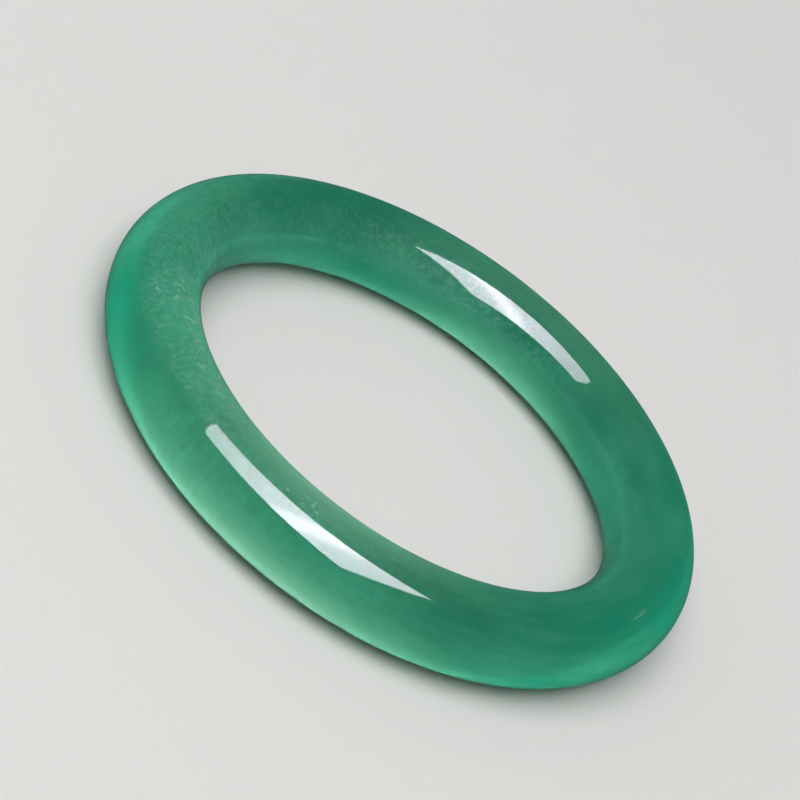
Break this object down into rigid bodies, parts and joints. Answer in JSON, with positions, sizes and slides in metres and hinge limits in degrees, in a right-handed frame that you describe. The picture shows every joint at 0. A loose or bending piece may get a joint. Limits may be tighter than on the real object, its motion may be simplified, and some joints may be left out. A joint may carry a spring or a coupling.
{
  "type": "bangle bracelet",
  "caption": "Closed round-bar jade bangle: a polished translucent green stone ring that slides over the hand and is worn round the wrist.",
  "frame": {"origin": "centre of the ring, on its axis and at the middle of the bar's height", "axes": "+Z along the ring's axis; the ring lies flat, resting on its lowest circle. X and Y are alike."},
  "size_m": [0.0774, 0.0774, 0.0106],
  "materials": {
    "jade": "polished"
  },
  "bodies": {
    "root": {"bangle_ring": "jade"}
  },
  "joints": []
}
